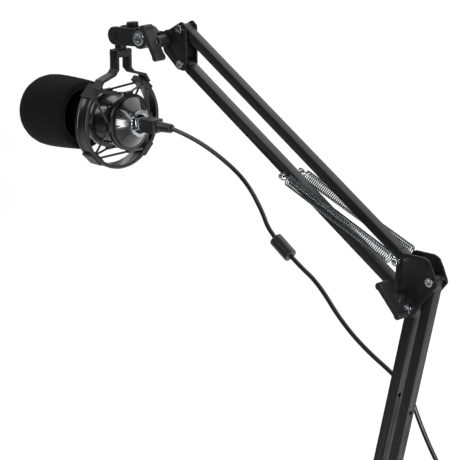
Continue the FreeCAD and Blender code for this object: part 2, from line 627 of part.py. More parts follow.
bore_in = size("mic_radius") - size("mic_wall")
on_mic(turned([("mic_radius", -52), ("mic_radius", 20.9), (bore_in, 20.9), (bore_in, -49), (0, -49),
               (0, -86), (5.0, -86), (5.0, -52)], "Barrel"), "mic_barrel")
on_mic(turned([(26.2, 21), (26.2, 22.5), ("socket_ring_radius", 31.5), (10.2, 31.5), (10.2, 24),
               (20.5, 20), (20.5, 12), (bore_in, 12), (bore_in, 21)], "Tail"), "mic_tail_cone")
on_mic(turned([("socket_ring_radius", 31.5), ("socket_ring_radius", 34.4), (13.0, 35.0), (9.6, 35.0),
               (9.6, 31.5)], "SocketRing"), "usb_socket_ring")
socket_body = block(14.0, 12.2, 14.0, Vector(0, 0, 20.5))
socket_mouth = block(12.2, 11.2, 12.0, Vector(0, 0, 23.5))
socket_flange = mic_rod(10.2, 1.5, 24.2)
on_mic(cut(fuse(socket_body, socket_flange), socket_mouth), "usb_b_socket")
grille_r = size("mic_radius") - 0.4
grille_in = grille_r - 1.2
dome = [(math.cos(math.radians(a)), math.sin(math.radians(a))) for a in (15, 30, 45, 60, 75)]
outer_dome = [(grille_r * c, -94 - 16 * s) for c, s in dome]
inner_dome = [(grille_in * c, -94 - 14.8 * s) for c, s in reversed(dome)]
on_mic(turned([(grille_r, -52), (grille_r, -94)] + outer_dome + [(0, -110), (0, -108.8)] + inner_dome
              + [(grille_in, -94), (grille_in, -52)], "Grille"), "mic_grille")
capsule_disc = mic_rod(17.0, 7.0, -93.0)
on_mic(capsule_disc, "condenser_capsule")
on_mic(block(34.0, 1.6, 58.0, Vector(0, 0, -49)), "circuit_board")

LUG_ANGLES = (0, 90, 180, 270)
basket_in = size("mic_radius")
HOOP_STARTS = (16.0, -14.0)
HOOP_RUN = 5.0
LUG_REACH = 31.6
hoops = []
for start in HOOP_STARTS:
    ring = mic_rod("Sizes.basket_radius", HOOP_RUN, start)
    ring_bore = mic_rod("Sizes.mic_radius", HOOP_RUN, start)
    hoops.append(cut(ring, ring_bore))
sleeve_tube = mic_rod("Sizes.sleeve_radius", 35.0, -14.0)
sleeve_bore = mic_rod("Sizes.mic_radius", 35.0, -14.0)
windows = []
for angle in CLIP_ANGLES:
    turn = Rotation(Z_AXIS, angle)
    window = doc.addObject("Part::Box", "Window")
    bind(window, Length=6.0, Width=8.0, Height=16.0)
    window.Placement = Placement(Vector(0, 0, -6), turn) * Placement(Vector(basket_in - 2, -4, 0),
                                                                      Rotation())
    windows.append(window)
hoops.append(cut(sleeve_tube, sleeve_bore, *windows))
for angle in LUG_ANGLES:
    for start in HOOP_STARTS:
        turn = Rotation(Z_AXIS, angle)
        lug = doc.addObject("Part::Box", "Lug")
        bind(lug, Length=4.5, Width=10.0, Height=5.0)
        lug.Placement = Placement(Vector(0, 0, start), turn) * Placement(Vector(basket_in + 3.0, -5, 0),
                                                                         Rotation())
        hoops.append(lug)
basket = on_mic(fuse(*hoops), "inner_basket")
doc.recompute()

cords = []
for angle, clip in zip(CLIP_ANGLES, clips):
    for step in (-45, 45):
        lug_angle = math.radians(angle + step * 0.9)
        for station, x_off in ((18.5, 5.5), (-11.5, -5.5)):
            turn = Rotation(X_AXIS, angle + (5 if step > 0 else -5))
            clip_end = ring_centre + turn.multVec(Vector(0, 45.8, 0)) + X_AXIS * x_off
            lug_local = Vector(math.cos(lug_angle) * LUG_REACH, math.sin(lug_angle) * LUG_REACH, station)
            flat = Vector(lug_local.x * side_way.x, lug_local.x * side_way.y, 0)
            lug_end = mic_centre + flat + tail_way.cross(side_way) * lug_local.y + tail_way * station
            way = lug_end - clip_end
            cord = doc.addObject("Part::Cylinder", "Elastic")
            bind(cord, Radius=1.2, Height=way.Length)
            cord.Placement = Placement(clip_end, Rotation(Z_AXIS, way))
            cords.append(cut(cord, clip, basket))
node(group(*cords), "elastic_cords")

foam = [(0, -130), (12, -128.8), (23, -124.6), (31.5, -117), (36.8, -107), ("foam_radius", -94),
        (39.0, -80), (38.2, -62), (37.4, -51), (36.5, -45.5), (34.8, -43.5), (32.0, -45),
        (28.5, -51.5), ("foam_bore", -53), ("foam_bore", -96), (24.3, -103), (20.0, -108.5), (12.0, -111.5),
        (0, -112.5)]
on_mic(turned(foam, "Foam"), "foam_windscreen")

# ---------------------------------------------------------------- USB cord
shell_outer = block(12.0, 11.0, 15.4, Vector(0, 0, 24.6))
shell_inner = block(10.4, 9.4, 10.0, Vector(0, 0, 24.6))
on_mic(cut(shell_outer, shell_inner), "usb_b_plug_shell")
plug_body = block(15.5, 14.0, 20.0, Vector(0, 0, 40.0))
relief_neck = cone(5.6, 4.4, 19.5, Vector(0, 0, 60.0))
relief_ribs = [mic_rod(5.6 - 0.16 * i, 1.6, 61.5 + 3.6 * i) for i in range(5)]
on_mic(fuse(plug_body, relief_neck, *relief_ribs), "usb_b_plug")

CORD_START = mic_centre + tail_way * 79.5
CORD_ROUTE = [
    CORD_START, Vector(-248.5, 9, 501), Vector(-207.4, 12, 485.8), Vector(-174.9, 14, 467.6),
    Vector(-157.0, 19, 439.2), Vector(-145.2, 17, 420.7), Vector(-105.3, 19, 393.8),
    Vector(-80.3, 20, 381.2), Vector(-50.9, 22, 348.8), Vector(-20.9, 24, 327.3), Vector(13.3, 25, 311.6),
    Vector(34.2, 26, 298.8), Vector(46.7, 27, 271.6), Vector(62.4, 27, 246.7), Vector(75.3, 27, 230.3),
    Vector(87, 28, 190), Vector(97, 27, 140), Vector(104, 30, 88), Vector(108.5, 31, 46),
    Vector(109.3, 42, 14), Vector(109.3, 70, 7),
]


def route_wire(points):
    """Straight runs joined by tangent arcs, and the arcs' radii."""
    edges = []
    radii = []
    start = points[0]
    for i in range(1, len(points) - 1):
        into = points[i] - points[i - 1]
        out = points[i + 1] - points[i]
        shorter = min(into.Length, out.Length)
        half_turn = into.getAngle(out) / 2
        trim = 0.45 * shorter
        radius = trim / math.tan(half_turn)
        into.normalize()
        out.normalize()
        arc_from = points[i] - into * trim
        arc_to = points[i] + out * trim
        bisector = out - into
        bisector.normalize()
        centre = points[i] + bisector * (radius / math.cos(half_turn))
        middle = centre - bisector * radius
        edges.append(Part.makeLine(start, arc_from))
        edges.append(Part.Arc(arc_from, middle, arc_to).toShape())
        radii.append(radius)
        start = arc_to
    edges.append(Part.makeLine(start, points[-1]))
    return Part.Wire(edges), radii


wire, radii = route_wire(CORD_ROUTE)
section = Part.Wire([Part.makeCircle(size("cord_radius"), CORD_ROUTE[0], CORD_ROUTE[1] - CORD_ROUTE[0])])
tube = wire.makePipeShell([section], True, True)
cable = doc.addObject("Part::Feature", "Cable")
cable.Shape = tube
cable.Placement = Placement()
node(cable, "usb_cable")
expected = wire.Length * math.pi * size("cord_radius") ** 2
print("cord: length %.1f, volume ratio %.4f, tightest bend %.1f"
      % (wire.Length, tube.Volume / expected, min(radii)))
print("bends:", " ".join("%.0f" % radius for radius in radii))

bead_from = CORD_ROUTE[5]
bead_to = CORD_ROUTE[6]
bead_way = bead_to - bead_from
bead_way.normalize()
bead_mid = bead_from + bead_way * 22.7
bead_start = bead_mid - bead_way * 12.5
bead_shape = rod(7.0, 25.0, bead_start, bead_way)
bead_bore = rod("Sizes.cord_radius + 0.05", 25.0, bead_start, bead_way)
node(cut(bead_shape, bead_bore), "ferrite_bead")

coil_centre = Vector(141, 80, 0)
coil = node(cut(rod(34.0, 14.0, coil_centre), rod(18.0, 14.0, coil_centre)), "cable_coil")
relief = rod(3.2, 15.0, Vector(172, 67, 4), Vector(0, -1, 0))
overmould = block(16.0, 26.0, 8.0, Vector(172, 39, 0))
node(fuse(relief, overmould), "usb_a_plug")
a_shell = block(12.0, 12.0, 4.5, Vector(172, 20, 1.75))
a_mouth = block(11.4, 10.0, 3.9, Vector(172, 19, 2.05))
node(cut(a_shell, a_mouth), "usb_a_plug_shell")

# ---------------------------------------------------------------- bores the crossing pins need
doc.recompute()
for label, point, radius in (
        ("upper_bar_bottom", upper_anchor, "anchor_radius"),
        ("lower_bar_left", lower_anchor, "anchor_radius")):
    hole = rod("Sizes." + radius, 30, at(point, -15), Y_AXIS)
    trimmed = cut(nodes[label], hole)
    nodes[label].Label = label + "_tube"
    node(trimmed, label)

doc.recompute()
problems = []
for obj in doc.Objects:
    if "Invalid" in obj.State or "Error" in obj.State:
        problems.append("%s %s %s" % (obj.Name, obj.Label, obj.State))
for label, obj in nodes.items():
    shape = obj.Shape
    if shape.isNull() or not shape.isValid() or not shape.Solids:
        problems.append("%s has no valid solid" % label)
if problems:
    raise RuntimeError("; ".join(problems))

os.makedirs("parts", exist_ok=True)
for label, obj in nodes.items():
    obj.Shape.exportStep("parts/%s.step" % label)
print("%d sub-parts" % len(nodes))
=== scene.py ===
import json
import math

import bmesh
import bpy
from mathutils import Matrix, Vector

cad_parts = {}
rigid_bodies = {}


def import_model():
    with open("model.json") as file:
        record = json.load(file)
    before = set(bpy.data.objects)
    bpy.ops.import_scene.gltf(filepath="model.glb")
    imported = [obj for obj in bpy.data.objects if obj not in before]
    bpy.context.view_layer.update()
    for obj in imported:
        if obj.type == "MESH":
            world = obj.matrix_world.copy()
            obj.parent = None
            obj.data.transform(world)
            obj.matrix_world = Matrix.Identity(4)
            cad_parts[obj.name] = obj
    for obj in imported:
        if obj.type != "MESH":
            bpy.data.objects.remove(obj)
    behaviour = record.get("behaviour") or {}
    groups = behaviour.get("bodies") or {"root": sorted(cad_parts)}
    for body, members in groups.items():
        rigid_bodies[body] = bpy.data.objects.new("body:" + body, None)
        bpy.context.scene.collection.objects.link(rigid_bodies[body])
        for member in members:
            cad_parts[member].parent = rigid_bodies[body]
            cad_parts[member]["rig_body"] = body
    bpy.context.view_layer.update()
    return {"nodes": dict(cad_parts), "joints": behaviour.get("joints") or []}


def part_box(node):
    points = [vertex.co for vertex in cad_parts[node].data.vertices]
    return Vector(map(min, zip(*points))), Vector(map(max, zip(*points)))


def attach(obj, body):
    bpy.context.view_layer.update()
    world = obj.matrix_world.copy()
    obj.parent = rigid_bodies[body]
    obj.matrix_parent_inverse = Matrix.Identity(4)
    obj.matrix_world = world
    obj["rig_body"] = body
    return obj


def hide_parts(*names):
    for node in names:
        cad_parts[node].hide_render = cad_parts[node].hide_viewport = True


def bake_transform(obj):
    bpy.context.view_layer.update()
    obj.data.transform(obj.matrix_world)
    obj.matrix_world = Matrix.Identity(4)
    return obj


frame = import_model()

bl_info = {
    "name": "Studio microphone on a scissor arm",
    "version": (1, 0, 0),
    "blender": (4, 5, 0),
    "location": "View3D > Sidebar > Microphone",
    "description": "Builds a condenser microphone, its shock mount, sprung arm, clamp and cord",
    "category": "Object",
}

MM = 0.001
NODES = frame["nodes"]
JOINTS = {joint["name"]: joint for joint in frame["joints"]}


# ---------------------------------------------------------------- small tools
def linear(code):
    """A #rrggbb colour as linear RGBA."""
    parts = [int(code[i:i + 2], 16) / 255 for i in (1, 3, 5)]
    return [c / 12.92 if c <= 0.04045 else ((c + 0.055) / 1.055) ** 2.4 for c in parts] + [1.0]


def put(tree, kind, settings=None, **inputs):
    """Add a node, with its settings and its inputs; an input may be a value or another socket."""
    new = tree.nodes.new(kind)
    for name, value in (settings or {}).items():
        setattr(new, name, value)
    for name, value in inputs.items():
        key = int(name[1:]) if name[0] == "i" and name[1:].isdigit() else name.replace("_", " ")
        if isinstance(value, bpy.types.NodeSocket):
            tree.links.new(value, new.inputs[key])
        else:
            new.inputs[key].default_value = value
    return new


def finish_named(name):
    """A new material and its tree, holding only a shader and an output."""
    material = bpy.data.materials.new(name)
    material.use_nodes = True
    tree = material.node_tree
    tree.nodes.clear()
    shader = tree.nodes.new("ShaderNodeBsdfPrincipled")
    output = tree.nodes.new("ShaderNodeOutputMaterial")
    tree.links.new(shader.outputs[0], output.inputs["Surface"])
    return material, tree, shader


def constant(shader, **sockets):
    """Values that are the same all over, set on the shader's own sockets."""
    for name, value in sockets.items():
        shader.inputs[name.replace("_", " ")].default_value = value


def grain(tree, size_mm, detail=3.0, rough=0.6):
    """Noise whose grain is a real size."""
    place = put(tree, "ShaderNodeTexCoord").outputs["Object"]
    return put(tree, "ShaderNodeTexNoise", Vector=place, Scale=1 / (size_mm * MM), Detail=detail,
               Roughness=rough)


def spread(tree, source, low, high):
    """Turn a 0 to 1 pattern into a range."""
    return put(tree, "ShaderNodeMapRange", Value=source, i3=low, i4=high).outputs[0]


def shades(tree, source, dark, light, start=0.3, end=0.7):
    """A pattern as a run between two colours."""
    ramp = put(tree, "ShaderNodeValToRGB", Fac=source)
    ramp.color_ramp.elements[0].position = start
    ramp.color_ramp.elements[1].position = end
    ramp.color_ramp.elements[0].color = linear(dark)
    ramp.color_ramp.elements[1].color = linear(light)
    return ramp.outputs["Color"]


def relief(tree, shader, height, depth_mm, strength=1.0, edge_mm=0.0):
    """A bump of a real depth, over edges softened by a real radius."""
    bump = put(tree, "ShaderNodeBump", Height=height, Distance=depth_mm * MM, Strength=strength)
    if edge_mm:
        soft = put(tree, "ShaderNodeBevel", settings={"samples": 6}, Radius=edge_mm * MM)
        tree.links.new(soft.outputs[0], bump.inputs["Normal"])
    tree.links.new(bump.outputs[0], shader.inputs["Normal"])


# ---------------------------------------------------------------- materials
def powder_coat(name, colour, worn, rough):
    """Baked black powder on steel: a low sheen with a very fine orange peel, paler in broad random patches.
    """
    material, tree, shader = finish_named(name)
    constant(shader, IOR=1.5, Specular_IOR_Level=0.3)
    peel = grain(tree, 0.9, 2.0)
    cloud = grain(tree, 14.0, 3.0)
    tree.links.new(shades(tree, cloud.outputs["Fac"], colour, worn), shader.inputs["Base Color"])
    tree.links.new(spread(tree, cloud.outputs["Fac"], rough - 0.05, rough + 0.07),
                   shader.inputs["Roughness"])
    relief(tree, shader, peel.outputs["Fac"], 0.04, 0.35, edge_mm=0.5)
    return material


def gloss_lacquer(name, colour, rough, coat=0.8):
    """Sprayed and polished lacquer: deep black under a clear coat with mirror-like bands."""
    material, tree, shader = finish_named(name)
    constant(shader, IOR=1.5, Coat_Weight=coat, Coat_Roughness=0.06, Specular_IOR_Level=0.4)
    wave = grain(tree, 9.0, 2.0)
    tree.links.new(shades(tree, wave.outputs["Fac"], colour, "#0b0b0c"), shader.inputs["Base Color"])
    tree.links.new(spread(tree, wave.outputs["Fac"], rough, rough + 0.06), shader.inputs["Roughness"])
    relief(tree, shader, wave.outputs["Fac"], 0.02, 0.15, edge_mm=0.3)
    return material


def moulded_nylon(name, colour, pale, rough, spark_mm=0.7):
    """Glass-filled nylon from a spark-eroded mould: matt, with an even fine pebble."""
    material, tree, shader = finish_named(name)
    constant(shader, IOR=1.53, Specular_IOR_Level=0.35)
    pebble = grain(tree, spark_mm, 2.0)
    cloud = grain(tree, 11.0, 2.0)
    tree.links.new(shades(tree, cloud.outputs["Fac"], colour, pale), shader.inputs["Base Color"])
    tree.links.new(spread(tree, pebble.outputs["Fac"], rough - 0.06, rough + 0.08),
                   shader.inputs["Roughness"])
    relief(tree, shader, pebble.outputs["Fac"], 0.08, 0.5, edge_mm=0.6)
    return material


def nickel_plate(name, colour, rough):
    """Bright nickel on turned steel: a clean mirror with faint lathe rings."""
    material, tree, shader = finish_named(name)
    constant(shader, Metallic=1.0)
    turned = grain(tree, 1.6, 2.0)
    tree.links.new(shades(tree, turned.outputs["Fac"], colour, "#d6d7d9"), shader.inputs["Base Color"])
    tree.links.new(spread(tree, turned.outputs["Fac"], rough, rough + 0.12), shader.inputs["Roughness"])
    relief(tree, shader, turned.outputs["Fac"], 0.03, 0.3, edge_mm=0.25)
    return material


def drawn_wire(name):
    """Zinc-bright spring wire: drawn, so it is streaked along its length and a little grey."""
    material, tree, shader = finish_named(name)
    constant(shader, Metallic=1.0)
    streak = grain(tree, 0.8, 3.0)
    tree.links.new(shades(tree, streak.outputs["Fac"], "#1c1c1e", "#6f7174"), shader.inputs["Base Color"])
    tree.links.new(spread(tree, streak.outputs["Fac"], 0.16, 0.34), shader.inputs["Roughness"])
    relief(tree, shader, streak.outputs["Fac"], 0.02, 0.3)
    return material


def open_cell_foam(name):
    """Reticulated polyurethane foam: charcoal, no gloss, a fine open cell all over."""
    material, tree, shader = finish_named(name)
    constant(shader, IOR=1.3, Roughness=1.0, Specular_IOR_Level=0.1, Sheen_Weight=0.04, Sheen_Roughness=0.5)
    place = put(tree, "ShaderNodeTexCoord").outputs["Object"]
    # The real cell is about 0.6 mm; it is drawn at 1.1 mm so that it shows.
    cells = put(tree, "ShaderNodeTexVoronoi", Vector=place, Scale=1 / (1.1 * MM))
    fluff = grain(tree, 0.8, 4.0, 0.7)
    both = put(tree, "ShaderNodeMath", settings={"operation": "MULTIPLY"}, i0=cells.outputs["Distance"],
               i1=fluff.outputs["Fac"])
    tree.links.new(shades(tree, both.outputs[0], "#070708", "#1f1f21", 0.1, 0.5),
                   shader.inputs["Base Color"])
    relief(tree, shader, both.outputs[0], 0.9, 0.8)
    return material


def braided_elastic(name):
    """Rubber core in a braided polyester sleeve: black with a fine diagonal plait."""
    material, tree, shader = finish_named(name)
    constant(shader, IOR=1.45, Roughness=0.75, Sheen_Weight=0.2)
    place = put(tree, "ShaderNodeTexCoord").outputs["Object"]
    # Strands are 0.4 mm wide, drawn at 0.8 mm.
    plait = put(tree, "ShaderNodeTexWave", settings={"bands_direction": "DIAGONAL"}, Vector=place,
                Scale=1 / (0.8 * MM) / 6.28, Distortion=1.5)
    tree.links.new(shades(tree, plait.outputs["Fac"], "#080809", "#232325"), shader.inputs["Base Color"])
    relief(tree, shader, plait.outputs["Fac"], 0.2, 0.6)
    return material


def cord_jacket(name, rough):
    """Extruded soft PVC: satin black with a faint long waviness from the die."""
    material, tree, shader = finish_named(name)
    constant(shader, IOR=1.52, Specular_IOR_Level=0.5)
    skin = grain(tree, 2.2, 2.0)
    tree.links.new(shades(tree, skin.outputs["Fac"], "#080809", "#121214"), shader.inputs["Base Color"])
    tree.links.new(spread(tree, skin.outputs["Fac"], rough - 0.06, rough + 0.06), shader.inputs["Roughness"])
    relief(tree, shader, skin.outputs["Fac"], 0.05, 0.3)
    return material


def woven_mesh(name):
    """Black-coated steel wire cloth: square openings between round wires."""
    material, tree, shader = finish_named(name)
    constant(shader, Metallic=0.6, IOR=1.5)
    place = put(tree, "ShaderNodeTexCoord").outputs["Object"]
    # Wires are 1.2 mm apart.
    cloth = put(tree, "ShaderNodeTexVoronoi", settings={"distance": "CHEBYCHEV"}, Vector=place,
                Scale=1 / (1.2 * MM), Randomness=0.0)
    tree.links.new(shades(tree, cloth.outputs["Distance"], "#050505", "#3a3a3c"),
                   shader.inputs["Base Color"])
    tree.links.new(spread(tree, cloth.outputs["Distance"], 0.3, 0.6), shader.inputs["Roughness"])
    relief(tree, shader, cloth.outputs["Distance"], 0.5, 0.8)
    return material


def gold_film(name):
    """Gold-sputtered diaphragm: a soft yellow mirror with a slight stretch pattern."""
    material, tree, shader = finish_named(name)
    constant(shader, Metallic=1.0)
    film = grain(tree, 5.0, 2.0)
    tree.links.new(shades(tree, film.outputs["Fac"], "#c79a3c", "#e6c271"), shader.inputs["Base Color"])
    tree.links.new(spread(tree, film.outputs["Fac"], 0.15, 0.3), shader.inputs["Roughness"])
    relief(tree, shader, film.outputs["Fac"], 0.05, 0.2)
    return material


def solder_mask(name):
    """Green solder mask over etched copper: a semi-gloss board with raised tracks."""
    material, tree, shader = finish_named(name)
    constant(shader, IOR=1.5)
    place = put(tree, "ShaderNodeTexCoord").outputs["Object"]
    tracks = put(tree, "ShaderNodeTexBrick", Vector=place, Scale=1 / (6.0 * MM), Mortar_Size=0.05)
    tree.links.new(shades(tree, tracks.outputs["Fac"], "#0d3a1c", "#1f6b38"), shader.inputs["Base Color"])
    tree.links.new(spread(tree, tracks.outputs["Fac"], 0.3, 0.45), shader.inputs["Roughness"])
    relief(tree, shader, tracks.outputs["Fac"], 0.04, 0.5)
    return material


def pale_surface(name):
    """A seamless matt sweep, almost white."""
    material, tree, shader = finish_named(name)
    constant(shader, Roughness=0.9, Specular_IOR_Level=0.1)
    cloud = grain(tree, 900.0, 2.0)
    tree.links.new(shades(tree, cloud.outputs["Fac"], "#f6f6f6", "#fafafa"), shader.inputs["Base Color"])
    return material


MATERIALS = {}


def make_materials():
    """All the finishes, by name."""
    MATERIALS.update({
        "bar steel": powder_coat("powder coated bar steel", "#0e0e0f", "#161618", 0.36),
        "plate steel": powder_coat("powder coated plate steel", "#0b0b0c", "#121214", 0.42),
        "clamp steel": powder_coat("powder coated clamp steel", "#0d0d0e", "#151517", 0.45),
        "lacquer": gloss_lacquer("lacquered aluminium", "#050506", 0.16, 0.55),
        "cone lacquer": gloss_lacquer("lacquered tail cone", "#050506", 0.2, 0.6),
        "gloss ABS": gloss_lacquer("polished black ABS", "#060607", 0.26, 0.25),
        "nylon": moulded_nylon("moulded black nylon", "#09090a", "#111113", 0.45),
        "knob nylon": moulded_nylon("moulded knob nylon", "#0b0b0c", "#151517", 0.5, 0.9),
        "pad rubber": moulded_nylon("moulded pad rubber", "#141415", "#1d1d1f", 0.75, 1.4),
        "nickel": nickel_plate("nickel plated steel", "#8e9093", 0.1),
        "spring wire": drawn_wire("drawn spring wire"),
        "foam": open_cell_foam("open cell foam"),
        "elastic": braided_elastic("braided elastic"),
        "jacket": cord_jacket("extruded cord jacket", 0.3),
        "plug rubber": cord_jacket("moulded plug body", 0.42),
        "mesh": woven_mesh("coated wire cloth"),
        "gold": gold_film("gold sputtered film"),
        "board": solder_mask("green solder mask"),
    })


# ---------------------------------------------------------------- pieces from meshes
def link(name, mesh, material, body=None, smooth=True):
    """A new object at the origin that rides on a body, or on no body."""
    piece = bpy.data.objects.new(name, mesh)
    bpy.context.scene.collection.objects.link(piece)
    mesh.materials.clear()
    mesh.materials.append(MATERIALS[material])
    if smooth:
        for face in mesh.polygons:
            face.use_smooth = True
    if body:
        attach(piece, body)
    return piece


def bake(piece):
    """Apply every modifier on a piece to its mesh."""
    depsgraph = bpy.context.evaluated_depsgraph_get()
    mesh = bpy.data.meshes.new_from_object(piece.evaluated_get(depsgraph))
    piece.modifiers.clear()
    piece.data = mesh
    return mesh


def merged_copy(node, whole=True):
    """A welded copy of a CAD node's mesh, its flat triangles joined into whole faces."""
    work = bmesh.new()
    work.from_mesh(NODES[node].data)
    bmesh.ops.remove_doubles(work, verts=work.verts, dist=0.00001)
    if whole:
        bmesh.ops.dissolve_limit(work, angle_limit=math.radians(0.6), verts=work.verts, edges=work.edges)
    mesh = bpy.data.meshes.new(node + "_finish")
    work.to_mesh(mesh)
    work.free()
    return mesh


def eased(node, material, edge_mm=0.4, segments=2, whole=True):
    """A CAD node again with its sharp edges rounded, in place of the CAD solid."""
    body = NODES[node]["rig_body"]
    piece = link(node + "_finish", merged_copy(node, whole), material, body)
    rounding = piece.modifiers.new("Edges", "BEVEL")
    rounding.width = edge_mm * MM
    rounding.segments = segments
    rounding.limit_method = "ANGLE"
    rounding.angle_limit = math.radians(32)
    rounding.use_clamp_overlap = True
    mesh = bake(piece)
    mesh.set_sharp_from_angle(angle=math.radians(32))
    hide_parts(node)
    return piece


def softened(node, material, voxel_mm, passes):
    """A moulded CAD node again with every edge melted round, in place of the CAD solid."""
    body = NODES[node]["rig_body"]
    piece = link(node + "_finish", merged_copy(node), material, body)
    skin = piece.modifiers.new("Skin", "REMESH")
    skin.mode = "VOXEL"
    skin.voxel_size = voxel_mm * MM
    skin.use_smooth_shade = True
    melt = piece.modifiers.new("Melt", "SMOOTH")
    melt.factor = 0.5
    melt.iterations = passes
    bake(piece)
    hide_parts(node)
    return piece


def keep(node, material):
    """Keep a CAD node as it is and give it a finish."""
    mesh = NODES[node].data
    mesh.materials.clear()
    mesh.materials.append(MATERIALS[material])


def tube(name, points, radius, material, body, order=3, closed=False):
    """A round wire along a smooth curve, as a mesh."""
    curve = bpy.data.curves.new(name, "CURVE")
    curve.dimensions = "3D"
    spline = curve.splines.new("NURBS")
    spline.points.add(len(points) - 1)
    for point, place in zip(spline.points, points):
        point.co = (*place, 1)
    spline.order_u = order
    spline.use_endpoint_u = not closed
    spline.use_cyclic_u = closed
    spline.resolution_u = 8
    curve.bevel_depth = radius
    curve.bevel_resolution = 3
    curve.use_fill_caps = True
    holder = bpy.data.objects.new(name, curve)
    bpy.context.scene.collection.objects.link(holder)
    depsgraph = bpy.context.evaluated_depsgraph_get()
    mesh = bpy.data.meshes.new_from_object(holder.evaluated_get(depsgraph))
    bpy.data.objects.remove(holder)
    return link(name, mesh, material, body)


def joined(name, pieces, body, material):
    """Several pieces of one finish as one piece."""
    work = bmesh.new()
    for piece in pieces:
        work.from_mesh(piece.data)
        bpy.data.objects.remove(piece)
    mesh = bpy.data.meshes.new(name)
    work.to_mesh(mesh)
    work.free()
    return link(name, mesh, material, body)


def turned_skin(name, profile, place, material, body, steps=96):
    """A lathe-turned skin from (radius, height) points, placed by a matrix."""
    work = bmesh.new()
    rows = []
    for radius, height in profile:
        if radius < 1e-6:
            rows.append([work.verts.new(place @ Vector((0, 0, height)))])
            continue
        row = []
        for i in range(steps):
            angle = 2 * math.pi * i / steps
            at = Vector((radius * math.cos(angle), radius * math.sin(angle), height))
            row.append(work.verts.new(place @ at))
        rows.append(row)
    for low, high in zip(rows, rows[1:]):
        for i in range(steps):
            j = (i + 1) % steps
            corners = [low[i % len(low)], low[j % len(low)], high[j % len(high)], high[i % len(high)]]
            unique = list(dict.fromkeys(corners))
            work.faces.new(unique)
    bmesh.ops.recalc_face_normals(work, faces=work.faces)
    mesh = bpy.data.meshes.new(name)
    work.to_mesh(mesh)
    work.free()
    return link(name, mesh, material, body)


# ---------------------------------------------------------------- where things are
def joint_at(name):
    """The point that a joint turns about, at rest."""
    return Vector(JOINTS[name]["pos_m"])


MIC_CENTRE = Vector((-355.8, 0, 502.8)) * MM
MIC_YAW = math.radians(5.0)
MIC_PITCH = math.radians(1.8)
TAIL_WAY = Vector((math.cos(MIC_YAW) * math.cos(MIC_PITCH), math.sin(MIC_YAW) * math.cos(MIC_PITCH),
                   math.sin(MIC_PITCH)))
SIDE_WAY = Vector((-math.sin(MIC_YAW), math.cos(MIC_YAW), 0))
RISE_WAY = TAIL_WAY.cross(SIDE_WAY)
MIC_PLACE = Matrix((
    (SIDE_WAY.x, RISE_WAY.x, TAIL_WAY.x, MIC_CENTRE.x),
    (SIDE_WAY.y, RISE_WAY.y, TAIL_WAY.y, MIC_CENTRE.y),
    (SIDE_WAY.z, RISE_WAY.z, TAIL_WAY.z, MIC_CENTRE.z),
    (0, 0, 0, 1),
))
RING_CENTRE = Vector((-354.5, 0, 502.8)) * MM
ELASTIC_RADIUS = 1.2 * MM
CLIP_REACH = 45.8
LUG_REACH = 31.2
SPRING_OUT_BAR = 12.4 * MM
SPRING_OUT_PLATE = 15.0 * MM
SPRING_END = 8 * MM
TEETH_AT = 33.4 * MM
# The windscreen's outline as (radius, height) in mm: nose, side, rolled rear lip, bore.
FOAM_PROFILE = [
    (0, -130), (7, -129.6), (14, -128.0), (21, -125.2), (27.5, -121), (32.5, -115.6), (36.2, -109),
    (38.4, -101.5), (39.2, -93), (39.1, -82), (38.6, -70), (38.1, -60), (37.6, -53), (37.2, -48.5),
    (36.3, -45.3), (34.8, -44.1), (33.2, -44.6), (31.0, -46.6), (28.4, -51.0), (25.7, -53.4),
    (25.5, -70), (25.5, -96), (24.3, -103), (20.0, -108.5), (12.0, -111.5), (0, -112.5),
]
COIL_CENTRE = Vector((141, 80, 0)) * MM


# ---------------------------------------------------------------- settings
class StageSettings(bpy.types.PropertyGroup):
    key_power: bpy.props.FloatProperty(name="Key light", description="Power of the main soft light",
                                       default=22.0, min=0, unit="POWER")
    fill_power: bpy.props.FloatProperty(name="Fill light", description="Power of the side light",
                                        default=18.0, min=0, unit="POWER")
    low_power: bpy.props.FloatProperty(name="Low light", description="Power of the card beside the camera",
                                       default=16.0, min=0, unit="POWER")
    table_power: bpy.props.FloatProperty(name="Table light", description="Power of the panel over the table",
                                         default=400.0, min=0, unit="POWER")
    sky: bpy.props.FloatProperty(name="Surround", description="Brightness of the white surround",
                                 default=0.1, min=0)


class SpringSettings(bpy.types.PropertyGroup):
    wire: bpy.props.FloatProperty(name="Wire", description="Diameter of the spring wire", default=1.2 * MM,
                                  unit="LENGTH")
    width: bpy.props.FloatProperty(name="Width", description="Outside diameter of the springs",
                                   default=11.2 * MM, unit="LENGTH")
    pitch: bpy.props.FloatProperty(name="Pitch", description="Distance from turn to turn", default=2.28 * MM,
                                   unit="LENGTH")
    straight: bpy.props.FloatProperty(name="Straight share",
                                      description="Share of a spring that stays with its bar",
                                      default=0.6, min=0, max=0.9, subtype="FACTOR")


class CordSettings(bpy.types.PropertyGroup):
    width: bpy.props.FloatProperty(name="Width", description="Diameter of the cord", default=4.6 * MM,
                                   unit="LENGTH")
    length: bpy.props.FloatProperty(name="Length", description="Length of the whole cord", default=2.0,
                                    unit="LENGTH")
    turns: bpy.props.FloatProperty(name="Turns", description="Turns in the put-away coil", default=7.5)


class ArmSettings(bpy.types.PropertyGroup):
    edge: bpy.props.FloatProperty(name="Edge", description="Rounding of the bars' long edges",
                                  default=0.9 * MM, unit="LENGTH")


class WindscreenSettings(bpy.types.PropertyGroup):
    nap: bpy.props.FloatProperty(name="Nap", description="Depth of the foam's uneven surface",
                                 default=0.25 * MM, unit="LENGTH")


